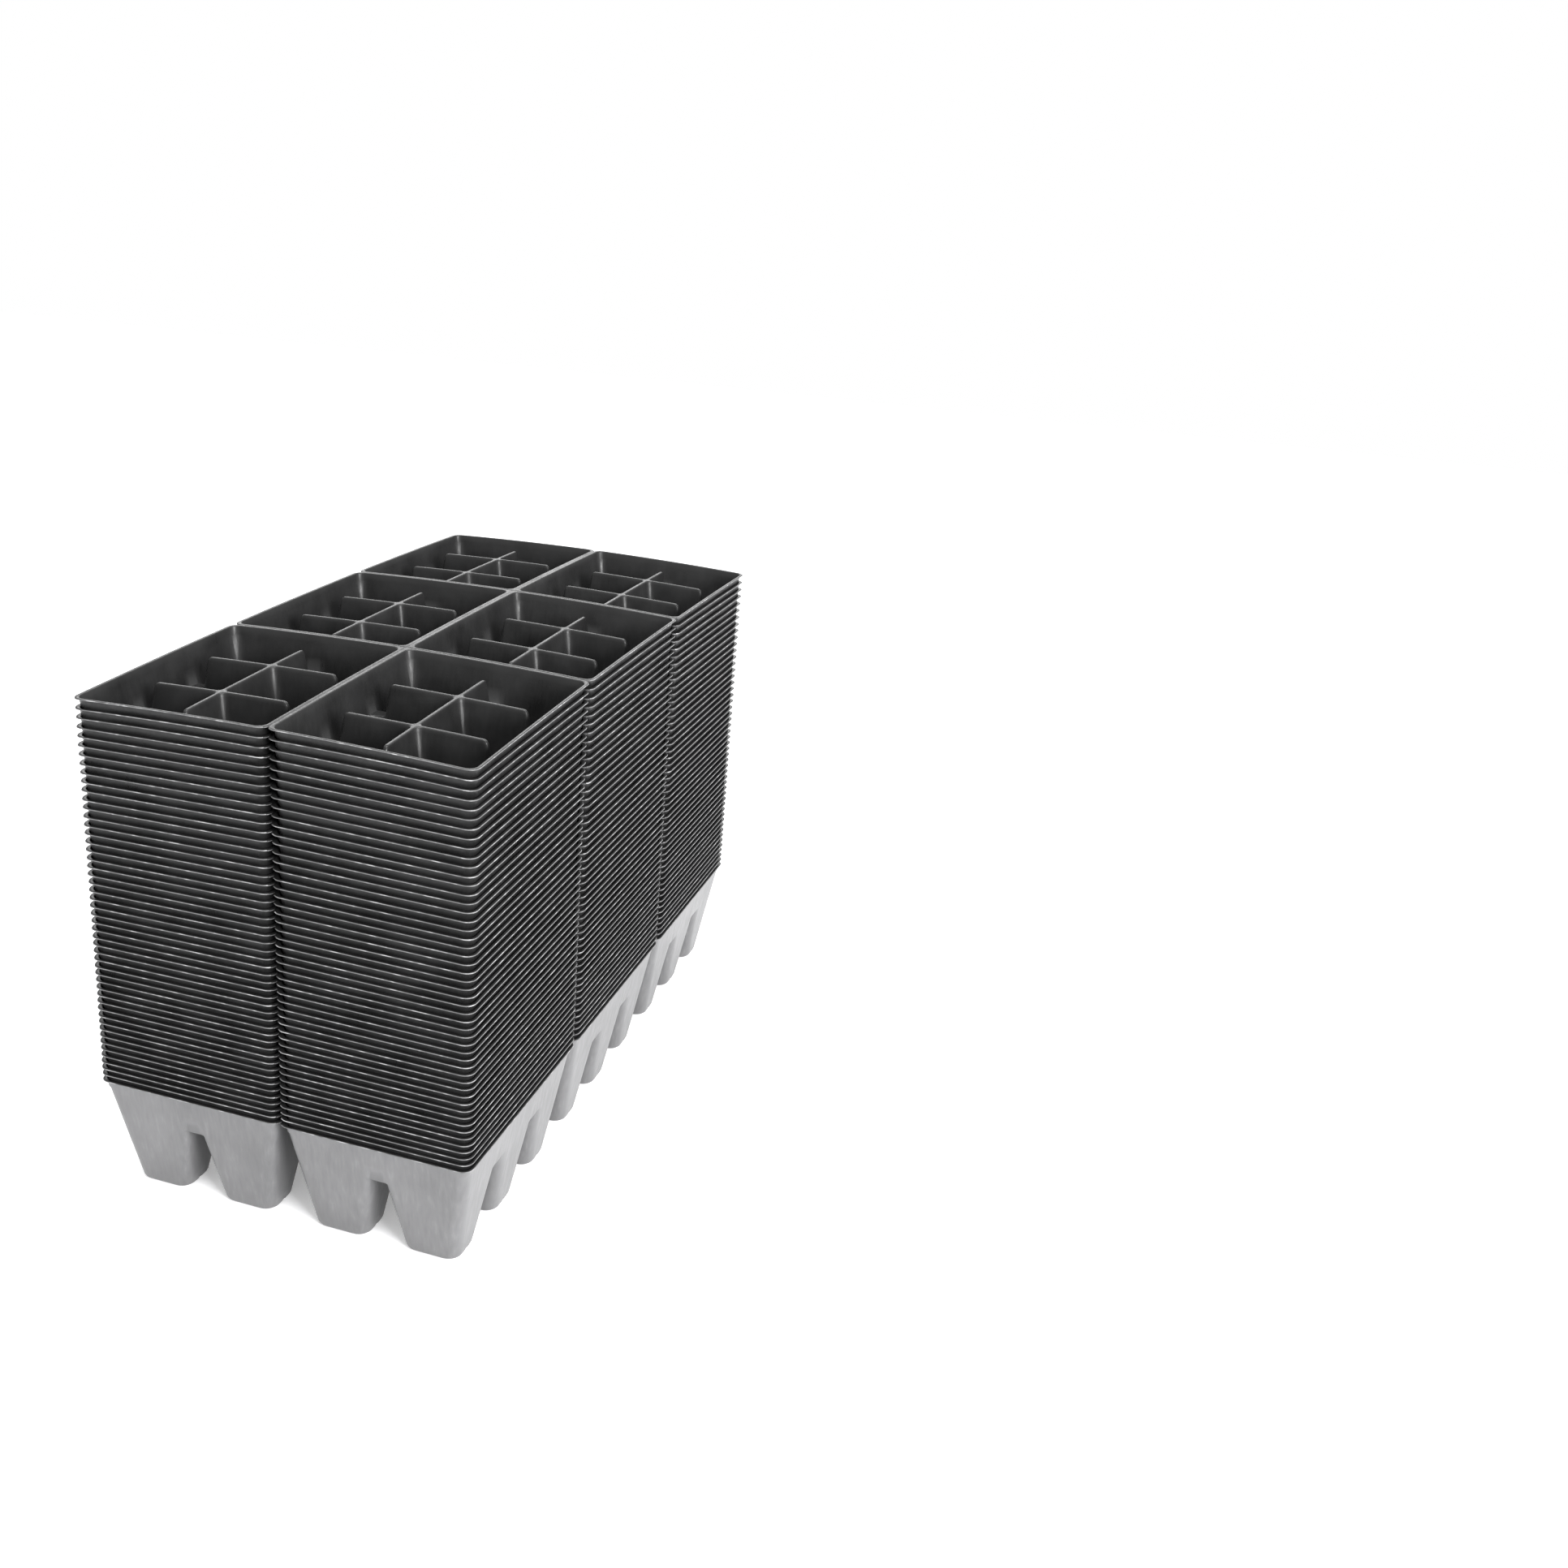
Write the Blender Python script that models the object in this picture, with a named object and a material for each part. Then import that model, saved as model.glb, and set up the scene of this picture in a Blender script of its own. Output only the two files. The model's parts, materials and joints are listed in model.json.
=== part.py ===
"""A stack of nested plug trays: thin thermoformed sheets of six-cell packs.

Metres, +Z up. X runs across a sheet, Y along it. The origin is the middle of
the stack's base, where the lowest tray's cells stand.

Every sheet is the same pressing. Its skin is a height field over a grid of
break lines: a flat web round each pack, drafted walls down to the cell
floors, and hollow dividers between the cells. The dividers stop short of the
pack's walls in a drafted nose, and a lower shelf joins the nose to the wall.
Nested out of sight, a sheet shows only its rim, so most trays end at the
divider level. The sheets round the hanging cells of the top trays are open
in the middle.
"""
import bpy

# Sheet layout
PACKS_ACROSS = 2
PACKS_ALONG = 3
CELLS_ACROSS = 2
CELLS_ALONG = 3
PACK_WIDTH = 0.136
PACK_LENGTH = 0.178

# Pressing
SHEET = 0.00045
DEPTH = 0.082
DRAFT = 0.165
LIP = 0.0027
DIVIDER_HALF_TOP = 0.00125
DIVIDER_DROP = 0.0055
SHELF_DROP = 0.027
NOSE_INSET = 0.0199
NOTCH = 0.0015

# Stack
TRAYS = 50
LOW_PITCH = 0.0049
HIGH_PITCH = 0.0063
TOP_CELLED = 2

# Finish
BLACK = (0.018, 0.018, 0.019, 1.0)
GREY = (0.27, 0.27, 0.275, 1.0)
BLACK_ROUGHNESS = 0.34
GREY_ROUGHNESS = 0.45

FLOOR_DROP = DEPTH - SHEET
# How far a break line of the lower skin lies from the upper skin's, so that
# drafted walls and level faces are all one sheet thick.
SKIN_SHIFT = SHEET * ((1.0 + DRAFT ** 2) ** 0.5 - DRAFT)
FLATNESS = 1e-9


def clear_scene():
    for old in list(bpy.data.objects):
        bpy.data.objects.remove(old, do_unlink=True)


def clamp(value, low, high):
    return max(low, min(high, value))


def divider_places(length, cells):
    """Middle lines of the dividers across one pack."""
    return [length * n / cells for n in range(1, cells)]


def pack_lines(length, cells, celled):
    """Break lines across one pack, each with the way its lower skin leans."""
    drops = [0.0, DIVIDER_DROP]
    if celled:
        drops += [SHELF_DROP, FLOOR_DROP]
    half_lines = [(LIP + DRAFT * drop, -1) for drop in drops]
    if celled:
        nose_run = DRAFT * (SHELF_DROP - DIVIDER_DROP)
        half_lines += [(NOSE_INSET - nose_run, 1), (NOSE_INSET, 1)]
    lines = list(half_lines)
    lines += [(length - place, -lean) for place, lean in half_lines]
    if celled:
        for middle in divider_places(length, cells):
            for drop in drops[1:]:
                half = DIVIDER_HALF_TOP + DRAFT * (drop - DIVIDER_DROP)
                lines += [(middle - half, 1), (middle + half, -1)]
    return sorted(lines)


def sheet_lines(length, packs, cells, celled):
    """Break lines over the whole sheet, centred on zero."""
    start = -length * packs / 2.0
    lines = []
    for pack in range(packs):
        offset = start + pack * length
        lines.append((offset, 0))
        lines += [(offset + place, lean) for place, lean in pack_lines(length, cells, celled)]
    lines.append((-start, 0))
    return lines


def wall_height(inset):
    return -clamp((inset - LIP) / DRAFT, 0.0, FLOOR_DROP)


def divider_height(distance, end_inset):
    """Height of a divider at a distance from its middle line and its pack's edge."""
    side = -DIVIDER_DROP - max(0.0, (distance - DIVIDER_HALF_TOP) / DRAFT)
    nose = -DIVIDER_DROP - clamp((NOSE_INSET - end_inset) / DRAFT, 0.0, SHELF_DROP - DIVIDER_DROP)
    return min(side, nose)


def skin_height(x, y, celled):
    """Height of the upper skin, from the rim's level."""
    across = (x + PACKS_ACROSS * PACK_WIDTH / 2.0) % PACK_WIDTH
    along = (y + PACKS_ALONG * PACK_LENGTH / 2.0) % PACK_LENGTH
    inset_x = min(across, PACK_WIDTH - across)
    inset_y = min(along, PACK_LENGTH - along)
    walls = max(wall_height(inset_x), wall_height(inset_y))
    if not celled:
        return max(walls, -DIVIDER_DROP)
    to_long = min(abs(across - place) for place in divider_places(PACK_WIDTH, CELLS_ACROSS))
    to_cross = min(abs(along - place) for place in divider_places(PACK_LENGTH, CELLS_ALONG))
    long_divider = divider_height(to_long, inset_y)
    cross_divider = divider_height(to_cross, inset_x)
    return max(walls, long_divider, cross_divider, -FLOOR_DROP)


def outline_place(i, j, xs, ys, notched):
    """Plan place of a grid point: corners are chamfered, pack joins may be notched."""
    x = xs[i]
    y = ys[j]
    at_side = i in (0, len(xs) - 1)
    at_end = j in (0, len(ys) - 1)
    pack_join_x = abs(x / PACK_WIDTH - round(x / PACK_WIDTH)) < FLATNESS
    ends_y = y / PACK_LENGTH + PACKS_ALONG / 2.0
    pack_join_y = abs(ends_y - round(ends_y)) < FLATNESS
    inward_x = -1.0 if x > 0.0 else 1.0
    inward_y = -1.0 if y > 0.0 else 1.0
    if at_side and at_end:
        return x + inward_x * LIP / 2.0, y + inward_y * LIP / 2.0
    if notched and at_side and pack_join_y:
        return x + inward_x * NOTCH, y
    if notched and at_end and pack_join_x:
        return x, y + inward_y * NOTCH
    return x, y


def is_basin(i, j, heights):
    """True where a grid square is level at the divider drop."""
    corners = heights[i][j:j + 2] + heights[i + 1][j:j + 2]
    return max(corners) < FLATNESS - DIVIDER_DROP


def square_faces(i, j, index, xs, ys, heights, celled):
    """One or two faces of a grid square, split along its real fold."""
    corners = [index(i, j), index(i + 1, j), index(i + 1, j + 1), index(i, j + 1)]
    z00 = heights[i][j]
    z10 = heights[i + 1][j]
    z11 = heights[i + 1][j + 1]
    z01 = heights[i][j + 1]
    if abs(z00 + z11 - z10 - z01) < FLATNESS:
        return [corners]
    middle = skin_height((xs[i] + xs[i + 1]) / 2.0, (ys[j] + ys[j + 1]) / 2.0, celled)
    if abs((z00 + z11) / 2.0 - middle) < abs((z10 + z01) / 2.0 - middle):
        return [[corners[0], corners[1], corners[2]], [corners[0], corners[2], corners[3]]]
    return [[corners[0], corners[1], corners[3]], [corners[1], corners[2], corners[3]]]


def sheet_mesh(name, celled, open_middle):
    """Closed thin sheet: upper skin, lower skin one thickness below, and edges."""
    x_lines = sheet_lines(PACK_WIDTH, PACKS_ACROSS, CELLS_ACROSS, celled)
    y_lines = sheet_lines(PACK_LENGTH, PACKS_ALONG, CELLS_ALONG, celled)
    xs = [place for place, lean in x_lines]
    ys = [place for place, lean in y_lines]
    low_xs = [place + lean * SKIN_SHIFT for place, lean in x_lines]
    low_ys = [place + lean * SKIN_SHIFT for place, lean in y_lines]
    heights = [[skin_height(x, y, celled) for y in ys] for x in xs]
    count = len(xs) * len(ys)

    def upper(i, j):
        return i * len(ys) + j

    points = []
    for skin_xs, skin_ys, drop in ((xs, ys, 0.0), (low_xs, low_ys, SHEET)):
        for i in range(len(xs)):
            for j in range(len(ys)):
                x, y = outline_place(i, j, skin_xs, skin_ys, celled)
                points.append((x, y, heights[i][j] - drop))

    faces = []
    for i in range(len(xs) - 1):
        for j in range(len(ys) - 1):
            if not (open_middle and is_basin(i, j, heights)):
                faces += square_faces(i, j, upper, xs, ys, heights, celled)

    edge_uses = {}
    for face in faces:
        for start, end in zip(face, face[1:] + face[:1]):
            edge_uses[(start, end)] = True
    lower_faces = [[corner + count for corner in reversed(face)] for face in faces]
    edge_faces = []
    for start, end in edge_uses:
        if (end, start) not in edge_uses:
            edge_faces.append([end, start, start + count, end + count])

    all_faces = faces + lower_faces + edge_faces
    used = sorted({corner for face in all_faces for corner in face})
    new_index = {old: new for new, old in enumerate(used)}
    mesh = bpy.data.meshes.new(name)
    mesh.from_pydata([points[old] for old in used], [],
                     [[new_index[corner] for corner in face] for face in all_faces])
    mesh.update()
    return mesh


def plastic(name, color, roughness):
    material = bpy.data.materials.new(name)
    material.use_nodes = True
    shader = material.node_tree.nodes["Principled BSDF"]
    shader.inputs["Base Color"].default_value = color
    shader.inputs["Roughness"].default_value = roughness
    material.diffuse_color = color
    return material


def rim_levels():
    """Height of each tray's rim: the nest is tighter lower down, under more weight."""
    levels = [DEPTH]
    gaps = TRAYS - 1
    for gap in range(gaps):
        share = gap / (gaps - 1)
        levels.append(levels[-1] + LOW_PITCH + share * (HIGH_PITCH - LOW_PITCH))
    return levels


def add_tray(number, level, mesh):
    name = f"tray_{number:02d}"
    tray = bpy.data.objects.new(name, mesh)
    bpy.context.scene.collection.objects.link(tray)
    tray.location = (0.0, 0.0, level)
    lowest = number == 1
    material = plastic(name, GREY if lowest else BLACK, GREY_ROUGHNESS if lowest else BLACK_ROUGHNESS)
    tray.material_slots[0].link = "OBJECT"
    tray.material_slots[0].material = material
    return tray


def build_stack():
    celled_sheet = sheet_mesh("celled_sheet", celled=True, open_middle=False)
    rim_sheet = sheet_mesh("rim_sheet", celled=False, open_middle=False)
    open_sheet = sheet_mesh("open_sheet", celled=False, open_middle=True)
    for mesh in (celled_sheet, rim_sheet, open_sheet):
        mesh.materials.append(None)
    levels = rim_levels()
    first_top = TRAYS - TOP_CELLED + 1
    hanging_to = levels[first_top - 1] - DEPTH
    for number, level in enumerate(levels, start=1):
        if number == 1 or number >= first_top:
            mesh = celled_sheet
        elif level - DIVIDER_DROP - SHEET > hanging_to - HIGH_PITCH:
            mesh = open_sheet
        else:
            mesh = rim_sheet
        add_tray(number, level, mesh)


clear_scene()
build_stack()
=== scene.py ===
"""Looks of the stack of nested plug trays: fine thin sheets of black plastic, the lowest one's body
painted grey as a painted reflection of the bright white table.
"""
import json
import math

import bpy
import numpy as np
from mathutils import Matrix, Vector


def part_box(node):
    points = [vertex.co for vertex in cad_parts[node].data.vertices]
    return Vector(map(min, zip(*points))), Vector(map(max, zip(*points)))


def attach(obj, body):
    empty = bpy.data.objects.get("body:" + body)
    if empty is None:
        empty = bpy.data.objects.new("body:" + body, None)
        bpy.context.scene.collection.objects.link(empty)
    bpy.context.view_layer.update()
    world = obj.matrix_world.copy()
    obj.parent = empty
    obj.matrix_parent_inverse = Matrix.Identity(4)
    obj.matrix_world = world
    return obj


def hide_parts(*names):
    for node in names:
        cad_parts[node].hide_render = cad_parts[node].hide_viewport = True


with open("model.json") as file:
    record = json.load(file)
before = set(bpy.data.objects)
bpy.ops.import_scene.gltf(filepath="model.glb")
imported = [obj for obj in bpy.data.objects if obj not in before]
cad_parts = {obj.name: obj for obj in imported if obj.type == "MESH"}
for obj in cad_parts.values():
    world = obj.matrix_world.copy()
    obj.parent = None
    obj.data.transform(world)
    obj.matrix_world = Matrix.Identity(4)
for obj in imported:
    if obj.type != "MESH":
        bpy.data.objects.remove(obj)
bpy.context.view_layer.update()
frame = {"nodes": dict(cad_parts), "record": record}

MM = 0.001

# Sheet layout, as in the CAD model
PACKS_ACROSS = 2
PACKS_ALONG = 3
CELLS_ACROSS = 2
CELLS_ALONG = 3
PACK_WIDTH = 136 * MM
PACK_LENGTH = 178 * MM
SHEET = 0.45 * MM
DEPTH = 82 * MM
DRAFT = 0.165
LIP = 2.7 * MM
DIVIDER_HALF_TOP = 1.25 * MM
DIVIDER_DROP = 5.5 * MM
SHELF_DROP = 27 * MM
NOSE_INSET = 19.9 * MM

# Roundings that the pressing has
RIM_FILLET = 0.8 * MM
DIVIDER_FILLET = 0.9 * MM
FLOOR_FILLET = 3 * MM
NOSE_FILLET = 3.5 * MM
SHEET_CORNER = 7.5 * MM
PACK_JOIN_CORNER = 6.5 * MM
RIM_CORNER = 6 * MM
BASIN_CORNER = 5 * MM
CELL_TOP_CORNER = 6.5 * MM
SHELF_CORNER = 5 * MM
CROSSING_CORNER = 4.5 * MM
CELL_FLOOR_CORNER = 9 * MM
FLOOR_CALM = 10 * MM
NOSE_ROUNDNESS = 0.95
STEP = 0.2 * MM
JOIN_GROOVE = 0.3 * MM
LIP_TURN = 0.5 * MM
EDGE_ROOM = 0.35 * MM
TURNED_EDGE = 0.5 * MM
DRAIN_HALF = 2 * MM

# A nested sheet is only modelled this far down; the lowest and the top ones are whole
SKIRT_DEPTH = 12 * MM
WHOLE_TOP_SHEETS = 3

# Grid lines between those that the shape's own edges need
ARC_LINES = 4
LIP_MIDDLE = LIP / 2.0 + 0.2 * MM
SKIRT_STEPS = [1.1 * MM, 2.3 * MM, 3.6 * MM, 5.0 * MM]
WALL_RISES = [11 * MM]
CELL_RISES = [7 * MM, 5 * MM, 3 * MM, 1.4 * MM]
FLOOR_STEPS = [4.4 * MM, 7 * MM, FLOOR_CALM]
DIVIDER_CROWN = [1.7 * MM, 2.3 * MM, 3.4 * MM]
LEAST_GAP = 0.02 * MM
WELD = 0.002 * MM
NOSE_SAMPLES = 200

# The stack settles: sheets sag towards their edges, more so higher up
SAG_ACROSS = 0.17
SAG_ALONG = 0.055
LATERAL_PLAY = 0.12 * MM
LEVEL_PLAY = 0.22 * MM
TILT_PLAY = 0.0006
TILT_DROP = 0.3 * (PACK_LENGTH + PACK_WIDTH)
RIPPLE = 0.12 * MM
WAVES_ACROSS = 17.0
WAVES_ALONG = 21.0

FLOOR_DROP = DEPTH - SHEET
LEAN = math.atan(DRAFT)
TURN = math.pi / 2.0 - LEAN
TANGENT = math.tan(TURN / 2.0)
WALL_TOP = DRAFT * FLOOR_DROP
WALL_INSET = LIP + WALL_TOP
DIVIDER_TOP = DRAFT * (FLOOR_DROP - DIVIDER_DROP)
DIVIDER_BASE = DIVIDER_HALF_TOP + DIVIDER_TOP
SHELF_RISE = DRAFT * (FLOOR_DROP - SHELF_DROP)
SKIRT_INSET = LIP + DRAFT * SKIRT_DEPTH

# Studio
FLOOR_SIZE = 8.0
STACK_MIDDLE = Vector((0.0, 0.0, 0.2))
CAMERA_PLACE = (0.501, -1.054, 0.68)
CAMERA_HEADING = math.radians(17.5)
CAMERA_LOOKS_DOWN = math.radians(21.0)
CAMERA_ROLL = math.radians(3.6)
LENS = 37.7
SIDEWAYS_SHIFT = 0.07


def slope_height(rise, top, top_drop, top_fillet):
    """Height of a drafted face that starts at the floor and ends at a level top.

    rise is the plan distance from the floor's edge towards the face."""
    rise = np.asarray(rise, dtype=float)
    height = -FLOOR_DROP + rise / DRAFT
    run = TANGENT * FLOOR_FILLET
    foot = np.clip(rise + run, 0.0, FLOOR_FILLET * math.cos(LEAN))
    height = np.where(rise < run * math.sin(LEAN),
                      -FLOOR_DROP + FLOOR_FILLET - np.sqrt(FLOOR_FILLET ** 2 - foot ** 2), height)
    run = TANGENT * top_fillet
    head = np.clip(top + run - rise, 0.0, top_fillet * math.cos(LEAN))
    rounded = -top_drop - top_fillet + np.sqrt(top_fillet ** 2 - head ** 2)
    return np.where(rise > top - run * math.sin(LEAN), rounded, height)


def wall_height(inset):
    return slope_height(WALL_INSET - inset, WALL_TOP, 0.0, RIM_FILLET)


def divider_side_height(distance):
    return slope_height(DIVIDER_BASE - distance, DIVIDER_TOP, DIVIDER_DROP, DIVIDER_FILLET)


def nose_table():
    """Matching places on a divider's side and on its end, at the same heights."""
    flat_half = DIVIDER_HALF_TOP - TANGENT * DIVIDER_FILLET
    side = np.linspace(flat_half, DIVIDER_BASE - SHELF_RISE, NOSE_SAMPLES)
    drop = -divider_side_height(side) - DIVIDER_DROP
    middle = NOSE_INSET + TANGENT * NOSE_FILLET
    arc_drop = NOSE_FILLET * (1.0 - math.cos(TURN))
    below_top = NOSE_FILLET - np.minimum(drop, arc_drop)
    arc = middle - np.sqrt(np.maximum(0.0, NOSE_FILLET ** 2 - below_top ** 2))
    end = np.where(drop < arc_drop, arc, NOSE_INSET - DRAFT * drop)
    side = np.concatenate([[0.0], side])
    end = np.concatenate([[end[0] + 2.0 * flat_half], end])
    return side, end


NOSE_SIDE, NOSE_END = nose_table()


def nose_end(side):
    return np.interp(side, NOSE_SIDE, NOSE_END)


def nose_side(end):
    return np.interp(end, NOSE_END[::-1], NOSE_SIDE[::-1])


def fillet_rises(top, fillet):
    """Plan places round the fillet between a drafted face and its level top."""
    angles = np.linspace(0.0, TURN, ARC_LINES)
    return list(top + TANGENT * fillet - fillet * np.sin(angles))


def foot_rises():
    """Plan places round the fillet between a cell's floor and a drafted face."""
    angles = np.linspace(0.0, TURN, ARC_LINES)
    return list(-TANGENT * FLOOR_FILLET + FLOOR_FILLET * np.sin(angles))


def wall_insets(fine):
    """Grid lines beside a pack's wall, as distances from the pack's edge."""
    lines = [0.0, TURNED_EDGE, LIP_MIDDLE]
    lines += [WALL_INSET - rise for rise in fillet_rises(WALL_TOP, RIM_FILLET)]
    if not fine:
        halfway = (lines[-1] + SKIRT_INSET) / 2.0
        return lines + [halfway, SKIRT_INSET] + [SKIRT_INSET + step for step in SKIRT_STEPS]
    rises = [DIVIDER_TOP, DIVIDER_TOP - STEP] + WALL_RISES + low_rises()
    return lines + [WALL_INSET - rise for rise in rises]


def low_rises():
    """Grid lines from the shelf's level down a drafted face and into the cell's floor."""
    rises = [SHELF_RISE, SHELF_RISE - STEP] + CELL_RISES + foot_rises()[::-1]
    return rises + [-step for step in FLOOR_STEPS]


def divider_distances():
    """Grid lines beside a divider, above and below the shelf's level, from its middle line."""
    sides = [DIVIDER_BASE - rise for rise in fillet_rises(DIVIDER_TOP, DIVIDER_FILLET)]
    return sides + DIVIDER_CROWN, [DIVIDER_BASE - rise for rise in low_rises()]


def pack_lines(length, cells, fine):
    """All grid lines across one pack, without any that nearly coincide."""
    insets = wall_insets(fine)
    if fine:
        sides, lower = divider_distances()
        insets += [float(nose_end(side)) for side in sides + [DIVIDER_BASE - SHELF_RISE]]
    places = insets + [length - inset for inset in insets]
    if fine:
        for number in range(1, cells):
            middle = length * number / cells
            places.append(middle)
            for distance in sides + lower:
                places += [middle - distance, middle + distance]
        for number in range(cells):
            low, high = cell_span(number, length, cells)
            places += [(low + high) / 2.0 - DRAIN_HALF, (low + high) / 2.0 + DRAIN_HALF]
    places = sorted(places)
    kept = [places[0]]
    for place in places[1:]:
        if place - kept[-1] > LEAST_GAP:
            kept.append(place)
    return np.array(kept)


def cell_span(number, length, cells):
    """Lowest and highest edge of a cell's floor across a pack."""
    low = length * number / cells + (DIVIDER_BASE if number else WALL_INSET)
    high = length * (number + 1) / cells - (DIVIDER_BASE if number < cells - 1 else WALL_INSET)
    return low, high


def nearest_divider(places, length, cells):
    """Distance to the nearest divider's middle line, and the side it is on."""
    middles = np.array([length * number / cells for number in range(1, cells)])
    chosen = middles[np.argmin(np.abs(places[:, None] - middles[None, :]), axis=1)]
    return np.abs(places - chosen), np.sign(places - chosen)


def corner_pull(first, second, level, radius):
    """How far a corner point moves, along both directions, to lie on a round corner.

    first and second grow towards the two faces; the loop through the point has its
    sharp corner at (level, level)."""
    on_first = first >= second
    along = np.where(on_first, level - second, level - first)
    active = (radius > 0.0) & (along < radius)
    safe = np.where(radius > 0.0, radius, 1.0)
    turn = (math.pi / 4.0) * np.clip(along / safe, 0.0, 1.0)
    main = level - radius + radius * np.cos(math.pi / 4.0 - turn)
    other = level - radius + radius * np.sin(math.pi / 4.0 - turn)
    moved_first = np.where(on_first, main, other)
    moved_second = np.where(on_first, other, main)
    return np.where(active, moved_first - first, 0.0), np.where(active, moved_second - second, 0.0)


def floor_radius(level, top_level, top_radius):
    """Corner radius of a cell: tighter at its top, and fading out inside its floor."""
    radius = np.interp(level, [-FLOOR_CALM, 0.0, top_level], [0.0, CELL_FLOOR_CORNER, top_radius])
    return np.where(level > top_level, 0.0, radius)


def wall_corner_radius(level, edge_radius):
    """Corner radius of the loop at a level, from a cell's floor out to the sheet's edge."""
    below = floor_radius(level, DIVIDER_TOP - STEP / 2.0, CELL_TOP_CORNER)
    middle = np.interp(level, [DIVIDER_TOP, WALL_TOP], [BASIN_CORNER, RIM_CORNER])
    share = np.clip((level - WALL_TOP) / LIP, 0.0, 1.0)
    above = RIM_CORNER + share * (edge_radius - RIM_CORNER)
    return np.where(level < DIVIDER_TOP - STEP / 2.0, below, np.where(level < WALL_TOP, middle, above))


def nose_pull(side, end):
    """How far a point near a divider's end moves, in (side, end), to round the end."""
    matched = nose_side(end)
    on_side = side >= matched
    level = np.where(on_side, side, matched)
    tip = nose_end(level)
    radius = NOSE_ROUNDNESS * level
    along = np.where(on_side, end - tip, level - side)
    inside = (end > NOSE_END[-1] - STEP / 4.0) & (level <= NOSE_SIDE[-1] + STEP / 4.0)
    active = inside & (along >= 0.0) & (along < radius)
    turn = (math.pi / 4.0) * np.clip(along / np.maximum(radius, STEP / 10.0), 0.0, 1.0)
    main = np.cos(math.pi / 4.0 - turn)
    other = np.sin(math.pi / 4.0 - turn)
    new_side = level - radius + radius * np.where(on_side, main, other)
    new_end = tip + radius - radius * np.where(on_side, other, main)
    return np.where(active, new_side - side, 0.0), np.where(active, new_end - end, 0.0)


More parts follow.
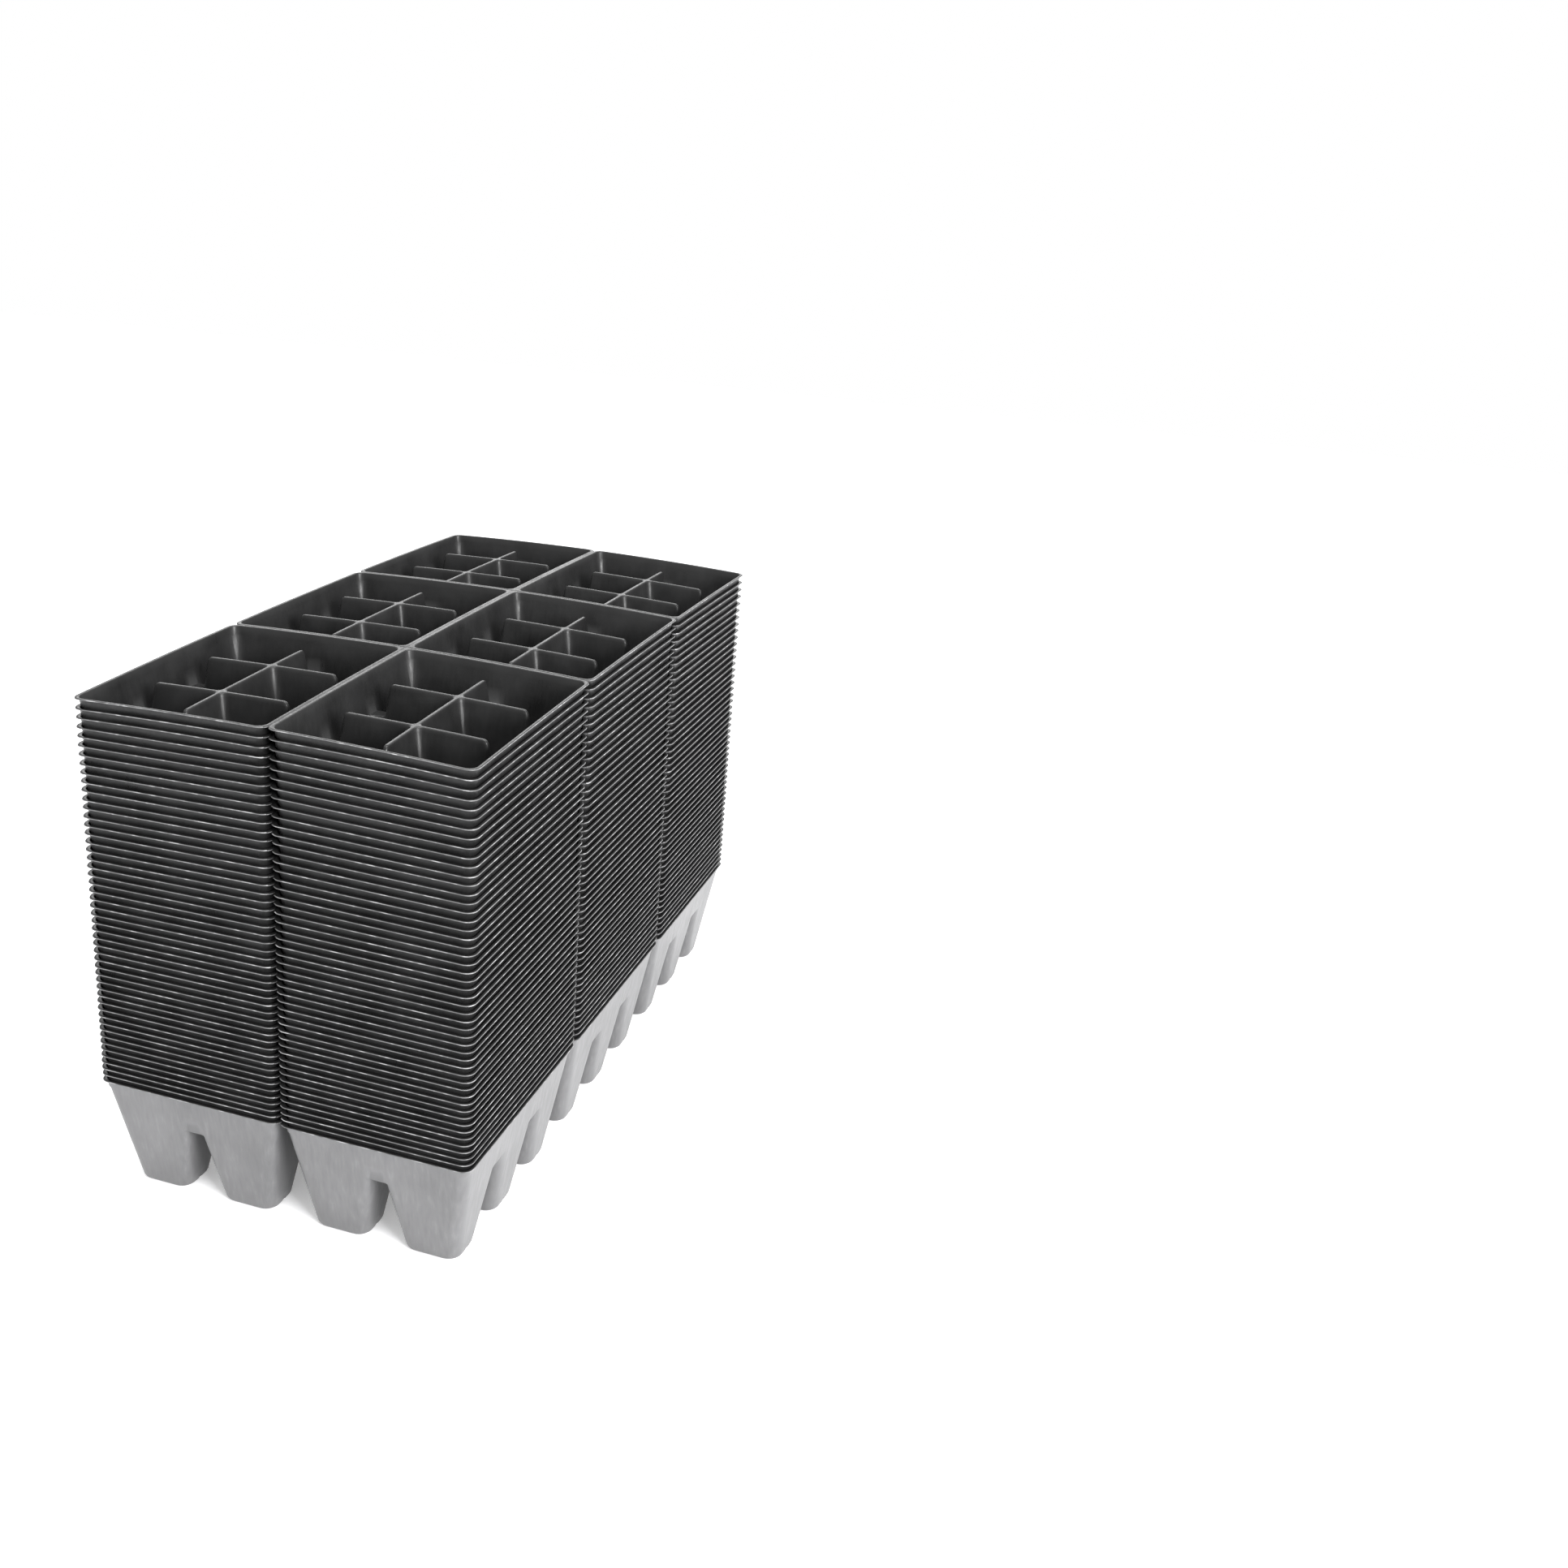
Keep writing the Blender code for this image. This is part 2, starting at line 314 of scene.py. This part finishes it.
def pack_points(pack_x, pack_y, fine):
    """Grid points of one pack in sheet coordinates, and which squares are solid or turned down."""
    xs = pack_lines(PACK_WIDTH, CELLS_ACROSS, fine)
    ys = pack_lines(PACK_LENGTH, CELLS_ALONG, fine)
    x, y = np.meshgrid(xs, ys, indexing="ij")
    inset_x = np.minimum(x, PACK_WIDTH - x)
    inset_y = np.minimum(y, PACK_LENGTH - y)
    way_x = np.where(x < PACK_WIDTH / 2.0, -1.0, 1.0)
    way_y = np.where(y < PACK_LENGTH / 2.0, -1.0, 1.0)
    outer_x = np.where(way_x < 0.0, pack_x == 0, pack_x == PACKS_ACROSS - 1)
    outer_y = np.where(way_y < 0.0, pack_y == 0, pack_y == PACKS_ALONG - 1)

    z = np.maximum(wall_height(inset_x), wall_height(inset_y))
    rise_x = WALL_INSET - inset_x
    rise_y = WALL_INSET - inset_y
    edge_radius = np.where(outer_x & outer_y, SHEET_CORNER,
                           np.where(outer_x | outer_y, PACK_JOIN_CORNER, 0.0))
    level = np.maximum(rise_x, rise_y)
    pull_x, pull_y = corner_pull(rise_x, rise_y, level, wall_corner_radius(level, edge_radius))
    new_x = x + way_x * pull_x
    new_y = y + way_y * pull_y

    if fine:
        far_x, side_x = nearest_divider(xs, PACK_WIDTH, CELLS_ACROSS)
        far_y, side_y = nearest_divider(ys, PACK_LENGTH, CELLS_ALONG)
        far_x, far_y = np.meshgrid(far_x, far_y, indexing="ij")
        side_x, side_y = np.meshgrid(side_x, side_y, indexing="ij")
        long_end = divider_side_height(nose_side(inset_y))
        cross_end = divider_side_height(nose_side(inset_x))
        long_divider = np.minimum(divider_side_height(far_x), np.maximum(long_end, -SHELF_DROP))
        cross_divider = np.minimum(divider_side_height(far_y), np.maximum(cross_end, -SHELF_DROP))
        z = np.maximum(z, np.maximum(long_divider, cross_divider))

        div_x = DIVIDER_BASE - far_x
        div_y = DIVIDER_BASE - far_y
        shelf_top = SHELF_RISE - STEP / 2.0
        for first, second, turn_x, turn_y in (
                (div_x, rise_y, -side_x, way_y),
                (rise_x, div_y, way_x, -side_y)):
            level = np.maximum(first, second)
            radius = floor_radius(level, shelf_top, SHELF_CORNER)
            pull_x, pull_y = corner_pull(first, second, level, radius)
            new_x += turn_x * pull_x
            new_y += turn_y * pull_y
        level = np.maximum(div_x, div_y)
        radius = np.where(level < DIVIDER_TOP, floor_radius(level, DIVIDER_TOP, CROSSING_CORNER),
                          np.interp(level, [DIVIDER_TOP, DIVIDER_BASE], [CROSSING_CORNER, 0.0]))
        pull_x, pull_y = corner_pull(div_x, div_y, level, radius)
        new_x += -side_x * pull_x
        new_y += -side_y * pull_y
        pull_side, pull_end = nose_pull(far_x, inset_y)
        new_x += side_x * pull_side
        new_y += -way_y * pull_end
        pull_side, pull_end = nose_pull(far_y, inset_x)
        new_y += side_y * pull_side
        new_x += -way_x * pull_end

    at_edge_x = inset_x < STEP / 10.0
    at_edge_y = inset_y < STEP / 10.0
    joined = (at_edge_x & ~outer_x) | (at_edge_y & ~outer_y)
    free = (at_edge_x & outer_x) | (at_edge_y & outer_y)
    z = z - np.where(joined & ~free, JOIN_GROOVE, 0.0) - np.where(free, LIP_TURN, 0.0)
    new_x -= way_x * np.where(at_edge_x & outer_x, EDGE_ROOM, 0.0)
    new_y -= way_y * np.where(at_edge_y & outer_y, EDGE_ROOM, 0.0)

    middle_x = (xs[:-1] + xs[1:]) / 2.0
    middle_y = (ys[:-1] + ys[1:]) / 2.0
    mid_x, mid_y = np.meshgrid(middle_x, middle_y, indexing="ij")
    mid_inset_x = np.minimum(mid_x, PACK_WIDTH - mid_x)
    mid_inset_y = np.minimum(mid_y, PACK_LENGTH - mid_y)
    if fine:
        solid = ~drain_squares(mid_x, mid_y)
    else:
        solid = (mid_inset_x <= SKIRT_INSET) | (mid_inset_y <= SKIRT_INSET)
    turned = (mid_inset_x < TURNED_EDGE) & outer_x[:-1, :-1]
    turned |= (mid_inset_y < TURNED_EDGE) & outer_y[:-1, :-1]
    offset_x = (pack_x - PACKS_ACROSS / 2.0) * PACK_WIDTH
    offset_y = (pack_y - PACKS_ALONG / 2.0) * PACK_LENGTH
    return np.stack([new_x + offset_x, new_y + offset_y, z], axis=-1), solid, turned


def drain_squares(mid_x, mid_y):
    """Grid squares cut out for the drain hole at the foot of each cell's two side walls."""
    cut = np.zeros(mid_x.shape, dtype=bool)
    foot = foot_rises()
    for across in range(CELLS_ACROSS):
        low_x, high_x = cell_span(across, PACK_WIDTH, CELLS_ACROSS)
        beside = ((mid_x > low_x - foot[3]) & (mid_x < low_x - foot[1])) \
            | ((mid_x > high_x + foot[1]) & (mid_x < high_x + foot[3]))
        for along in range(CELLS_ALONG):
            low_y, high_y = cell_span(along, PACK_LENGTH, CELLS_ALONG)
            cut |= beside & (np.abs(mid_y - (low_y + high_y) / 2.0) < DRAIN_HALF)
    return cut


def sheet_points(fine):
    """All points and four-cornered faces of one sheet's upper skin, joined between packs."""
    points = []
    faces = []
    edges = []
    start = 0
    for pack_x in range(PACKS_ACROSS):
        for pack_y in range(PACKS_ALONG):
            grid, solid, turned = pack_points(pack_x, pack_y, fine)
            rows, columns = grid.shape[:2]
            index = start + np.arange(rows * columns).reshape(rows, columns)
            quads = np.stack([index[:-1, :-1], index[1:, :-1], index[1:, 1:], index[:-1, 1:]], axis=-1)
            faces.append(quads[solid])
            edges.append(turned[solid])
            points.append(grid.reshape(-1, 3))
            start += rows * columns
    points = np.concatenate(points)
    faces = np.concatenate(faces)
    keys = np.round(points / WELD).astype(np.int64)
    _, first, where = np.unique(keys, axis=0, return_index=True, return_inverse=True)
    faces = where.reshape(-1)[faces]
    used, packed = np.unique(faces, return_inverse=True)
    return points[first][used], packed.reshape(faces.shape), np.concatenate(edges)


def settle(points, level, base, top, seed):
    """Puts a sheet at its level in the stack, with the sag and play of a real nest."""
    share = (level - base) / (top - base)
    random = np.random.default_rng(seed)
    moved = points.copy()
    play = 0.0 if share in (0.0, 1.0) else 1.0
    shift = play * LATERAL_PLAY * random.uniform(-1.0, 1.0, 2)
    lift = -play * LEVEL_PLAY * random.uniform(0.0, 1.0)
    tilt = play * TILT_PLAY * random.uniform(-1.0, 1.0, 2)
    sag = SAG_ACROSS * points[:, 0] ** 2 + SAG_ALONG * points[:, 1] ** 2
    wave = np.sin(points[:, 1] * WAVES_ALONG + seed) * np.cos(points[:, 0] * WAVES_ACROSS + 2.0 * seed)
    ripple = play * RIPPLE * wave
    moved[:, 0] += shift[0]
    moved[:, 1] += shift[1]
    lean = tilt[0] * points[:, 0] + tilt[1] * points[:, 1]
    lean -= TILT_PLAY * play * TILT_DROP
    moved[:, 2] += level + lift - share * sag + share * (ripple + lean)
    return moved


def sheet_object(name, points, faces, turned, plastic, edge):
    """A sheet of even thickness below its upper skin, with its trimmed edge in its own material, which
    carries a pale painted highlight.
    """
    mesh = bpy.data.meshes.new(name)
    mesh.vertices.add(len(points))
    mesh.vertices.foreach_set("co", points.astype(np.float32).ravel())
    mesh.loops.add(faces.size)
    mesh.loops.foreach_set("vertex_index", faces.astype(np.int32).ravel())
    mesh.polygons.add(len(faces))
    mesh.polygons.foreach_set("loop_start", np.arange(0, faces.size, 4, dtype=np.int32))
    # Turned-down edge squares get the second material, the painted edge highlight.
    mesh.polygons.foreach_set("material_index", turned.astype(np.int32))
    mesh.update(calc_edges=True)
    mesh.validate()
    mesh.shade_smooth()
    mesh.materials.append(plastic)
    mesh.materials.append(edge)
    piece = bpy.data.objects.new(name, mesh)
    bpy.context.scene.collection.objects.link(piece)
    solid = piece.modifiers.new("thickness", "SOLIDIFY")
    solid.thickness = SHEET
    solid.offset = -1.0
    solid.use_even_offset = True
    solid.use_quality_normals = True
    solid.material_offset_rim = 1
    return piece


class Nodes:
    """Small helper that adds and links a material's nodes."""

    def __init__(self, name):
        self.material = bpy.data.materials.new(name)
        self.material.use_nodes = True
        self.tree = self.material.node_tree
        self.shader = self.tree.nodes["Principled BSDF"]
        self.place = self.tree.nodes.new("ShaderNodeTexCoord").outputs["Object"]

    def link(self, source, target):
        self.tree.links.new(source, target)

    def drive(self, socket, source):
        self.link(source, self.shader.inputs[socket])

    def scaled(self, scale):
        mapping = self.tree.nodes.new("ShaderNodeMapping")
        mapping.inputs["Scale"].default_value = scale
        self.link(self.place, mapping.inputs["Vector"])
        return mapping.outputs["Vector"]

    def noise(self, scale, detail=4.0, stretch=(1.0, 1.0, 1.0)):
        node = self.tree.nodes.new("ShaderNodeTexNoise")
        node.inputs["Scale"].default_value = scale
        node.inputs["Detail"].default_value = detail
        self.link(self.scaled(stretch), node.inputs["Vector"])
        return node.outputs["Fac"]

    def ramp(self, factor, stops):
        node = self.tree.nodes.new("ShaderNodeValToRGB")
        elements = node.color_ramp.elements
        elements[0].position, elements[0].color = stops[0][0], grey(stops[0][1])
        elements[1].position, elements[1].color = stops[-1][0], grey(stops[-1][1])
        for position, value in stops[1:-1]:
            elements.new(position).color = grey(value)
        self.link(factor, node.inputs["Fac"])
        return node.outputs["Color"]

    def blend(self, kind, factor, first, second):
        node = self.tree.nodes.new("ShaderNodeMix")
        node.data_type = "RGBA"
        node.blend_type = kind
        if isinstance(factor, float):
            node.inputs["Factor"].default_value = factor
        else:
            self.link(factor, node.inputs["Factor"])
        self.join(first, node, 6)
        self.join(second, node, 7)
        return node.outputs[2]

    def join(self, value, node, index):
        if isinstance(value, float):
            node.inputs[index].default_value = grey(value)
        else:
            self.link(value, node.inputs[index])

    def bump(self, height, strength, distance, under=None):
        node = self.tree.nodes.new("ShaderNodeBump")
        node.inputs["Strength"].default_value = strength
        node.inputs["Distance"].default_value = distance
        self.link(height, node.inputs["Height"])
        if under is not None:
            self.link(under, node.inputs["Normal"])
        return node.outputs["Normal"]


def grey(value):
    return (value, value, value * 1.01, 1.0)


def black_plastic():
    """Semi-gloss black sheet: drawn streaks down the walls, haze and a little dust."""
    nodes = Nodes("black_plastic")
    cloud = nodes.noise(38.0, 5.0)
    streak = nodes.noise(520.0, 3.0, (1.0, 1.0, 0.045))
    dust = nodes.noise(1450.0, 2.0)
    base = nodes.ramp(cloud, [(0.3, 0.009), (0.7, 0.016)])
    dusty = nodes.ramp(dust, [(0.7, 0.0), (0.78, 0.35)])
    nodes.drive("Base Color", nodes.blend("MIX", dusty, base, 0.05))
    gloss = nodes.ramp(cloud, [(0.25, 0.24), (0.75, 0.4)])
    drawn = nodes.ramp(streak, [(0.35, 0.0), (0.65, 0.12)])
    nodes.drive("Roughness", nodes.blend("ADD", 1.0, gloss, drawn))
    nodes.shader.inputs["Specular IOR Level"].default_value = 0.28
    fine = nodes.bump(nodes.noise(900.0, 3.0), 0.25, 0.05 * MM)
    nodes.drive("Normal", nodes.bump(streak, 0.35, 0.06 * MM, fine))
    return nodes.material


def grey_plastic():
    """Black sheet whose body is painted satin grey as a painted reflection of the bright white table,
    with faint drawn streaks; only its top rim band keeps the plastic's real black.
    """
    nodes = Nodes("grey_plastic")
    cloud = nodes.noise(22.0, 4.0)
    streak = nodes.noise(430.0, 4.0, (1.0, 1.0, 0.03))
    # Painted reflection: this grey stands in for the white table mirrored in black plastic; the sheet
    # itself is black.
    base = nodes.ramp(cloud, [(0.3, 0.095), (0.7, 0.12)])
    drawn = nodes.ramp(streak, [(0.3, 0.82), (0.6, 1.0), (0.72, 1.18)])
    body = nodes.blend("MULTIPLY", 1.0, base, drawn)
    height = nodes.tree.nodes.new("ShaderNodeSeparateXYZ")
    nodes.link(nodes.place, height.inputs["Vector"])
    band = nodes.tree.nodes.new("ShaderNodeMapRange")
    nodes.link(height.outputs["Z"], band.inputs["Value"])
    band.inputs["From Min"].default_value = DEPTH - 0.9 * MM
    band.inputs["From Max"].default_value = DEPTH - 0.5 * MM
    # The top rim band keeps the real black; below it the sheet carries the grey painted reflection.
    nodes.drive("Base Color", nodes.blend("MIX", band.outputs["Result"], body, 0.012))
    nodes.drive("Roughness", nodes.ramp(streak, [(0.3, 0.34), (0.7, 0.5)]))
    fine = nodes.bump(nodes.noise(700.0, 3.0), 0.2, 0.05 * MM)
    nodes.drive("Normal", nodes.bump(streak, 0.4, 0.08 * MM, fine))
    return nodes.material


def cut_edge_painted_highlight():
    """The trimmed edge of the sheet, painted patchy pale grey as a painted highlight of the bright
    surroundings glancing off it.
    """
    nodes = Nodes("cut_edge_painted_highlight")
    edge_highlight_noise = nodes.noise(160.0, 5.0)
    # Painted highlight: this pale grey stands in for bright surroundings glancing off the black edge.
    nodes.drive("Base Color", nodes.ramp(edge_highlight_noise, [(0.35, 0.07), (0.55, 0.13), (0.68, 0.3)]))
    nodes.drive("Roughness", nodes.ramp(edge_highlight_noise, [(0.3, 0.3), (0.7, 0.55)]))
    nodes.drive("Normal", nodes.bump(nodes.noise(2200.0, 2.0), 0.4, 0.05 * MM))
    return nodes.material


def pale_floor_material():
    """Matt white table, with a little glow that keeps the far floor white."""
    nodes = Nodes("pale_floor")
    nodes.drive("Base Color", nodes.ramp(nodes.noise(3.0, 2.0), [(0.3, 0.86), (0.7, 0.88)]))
    nodes.drive("Roughness", nodes.ramp(nodes.noise(60.0, 3.0), [(0.3, 0.55), (0.7, 0.65)]))
    nodes.shader.inputs["Specular IOR Level"].default_value = 0.2
    nodes.shader.inputs["Emission Color"].default_value = (1.0, 1.0, 1.0, 1.0)
    nodes.shader.inputs["Emission Strength"].default_value = 0.3
    return nodes.material


def build_sheets():
    black = black_plastic()
    painted_reflection_body = grey_plastic()
    # The edge material paints a pale highlight along every sheet's trimmed edge.
    edge = cut_edge_painted_highlight()
    fine_sheet = sheet_points(True)
    skirt_sheet = sheet_points(False)
    names = sorted(frame["nodes"])
    levels = {name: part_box(name)[1][2] for name in names}
    base = min(levels.values())
    top = max(levels.values())
    for number, name in enumerate(names):
        whole = number == 0 or number >= len(names) - WHOLE_TOP_SHEETS
        points, faces, turned = fine_sheet if whole else skirt_sheet
        placed = settle(points, levels[name], base, top, number)
        lowest = number == 0
        # The lowest sheet gets the grey painted reflection of the white table; all the others stay
        # plain black.
        plastic = painted_reflection_body if lowest else black
        piece = sheet_object(name + "_sheet", placed, faces, turned, plastic, edge)
        bodies = frame["record"]["behaviour"]["bodies"]
        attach(piece, next(body for body, nodes in bodies.items() if name in nodes))
        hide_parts(name)


def build_floor():
    mesh = bpy.data.meshes.new("floor")
    half = FLOOR_SIZE / 2.0
    corners = [(-half, -half, 0.0), (half, -half, 0.0), (half, half, 0.0), (-half, half, 0.0)]
    mesh.from_pydata(corners, [], [(0, 1, 2, 3)])
    mesh.materials.append(pale_floor_material())
    floor = bpy.data.objects.new("floor", mesh)
    bpy.context.scene.collection.objects.link(floor)


def softbox(name, place, size, power):
    """A soft rectangular light that faces the stack and stays out of the picture."""
    data = bpy.data.lights.new(name, "AREA")
    data.shape = "RECTANGLE"
    data.size, data.size_y = size
    data.energy = power
    light = bpy.data.objects.new(name, data)
    bpy.context.scene.collection.objects.link(light)
    light.location = place
    light.rotation_mode = "QUATERNION"
    light.rotation_quaternion = (STACK_MIDDLE - Vector(place)).to_track_quat("-Z", "Y")
    light.visible_camera = False


def build_lights():
    world = bpy.data.worlds.new("studio")
    bpy.context.scene.world = world
    world.use_nodes = True
    backdrop = world.node_tree.nodes["Background"]
    backdrop.inputs["Color"].default_value = (1.0, 1.0, 1.0, 1.0)
    backdrop.inputs["Strength"].default_value = 1.0
    softbox("back_softbox", (-1.2, 2.6, 1.5), (2.6, 1.4), 34.0)
    softbox("top_softbox", (0.3, -0.2, 2.2), (1.6, 1.6), 60.0)
    softbox("side_softbox", (2.5, -1.6, 1.3), (1.2, 1.0), 150.0)


def build_camera():
    data = bpy.data.cameras.new("camera")
    data.lens = LENS
    data.sensor_width = 36.0
    data.shift_x = SIDEWAYS_SHIFT
    camera = bpy.data.objects.new("camera", data)
    bpy.context.scene.collection.objects.link(camera)
    heading = Matrix.Rotation(CAMERA_HEADING, 4, "Z")
    tilt = Matrix.Rotation(math.pi / 2.0 - CAMERA_LOOKS_DOWN, 4, "X")
    roll = Matrix.Rotation(CAMERA_ROLL, 4, "Z")
    camera.matrix_world = Matrix.Translation(CAMERA_PLACE) @ heading @ tilt @ roll
    bpy.context.scene.camera = camera


build_sheets()
build_floor()
build_lights()
build_camera()
bpy.context.scene.view_settings.view_transform = "Standard"
